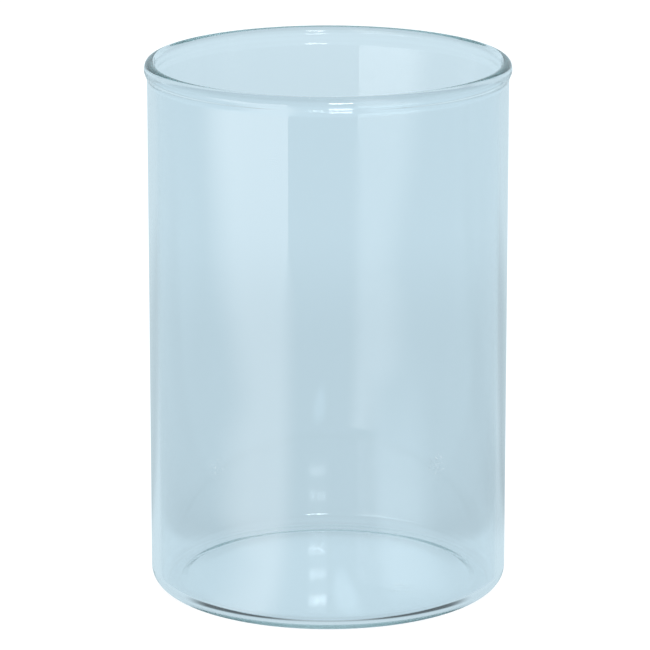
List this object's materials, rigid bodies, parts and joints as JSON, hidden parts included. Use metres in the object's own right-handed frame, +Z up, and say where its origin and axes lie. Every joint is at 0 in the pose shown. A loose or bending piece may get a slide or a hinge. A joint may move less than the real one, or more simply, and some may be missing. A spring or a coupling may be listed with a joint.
{
  "type": "gas jar",
  "caption": "Straight-sided glass jar with a thin base, a rounded heel and a fire-polished bead round its open mouth, for collecting and holding gases.",
  "frame": {"origin": "centre of the base, at the level of the table", "axes": "+Z up the axis of the jar, out of its mouth; the jar is round, so +X and +Y are any two square directions"},
  "size_m": [0.1016, 0.1016, 0.15],
  "materials": {
    "glass": "clear pale blue borosilicate glass, fire polished"
  },
  "bodies": {
    "root": {"jar": "glass"}
  },
  "joints": []
}
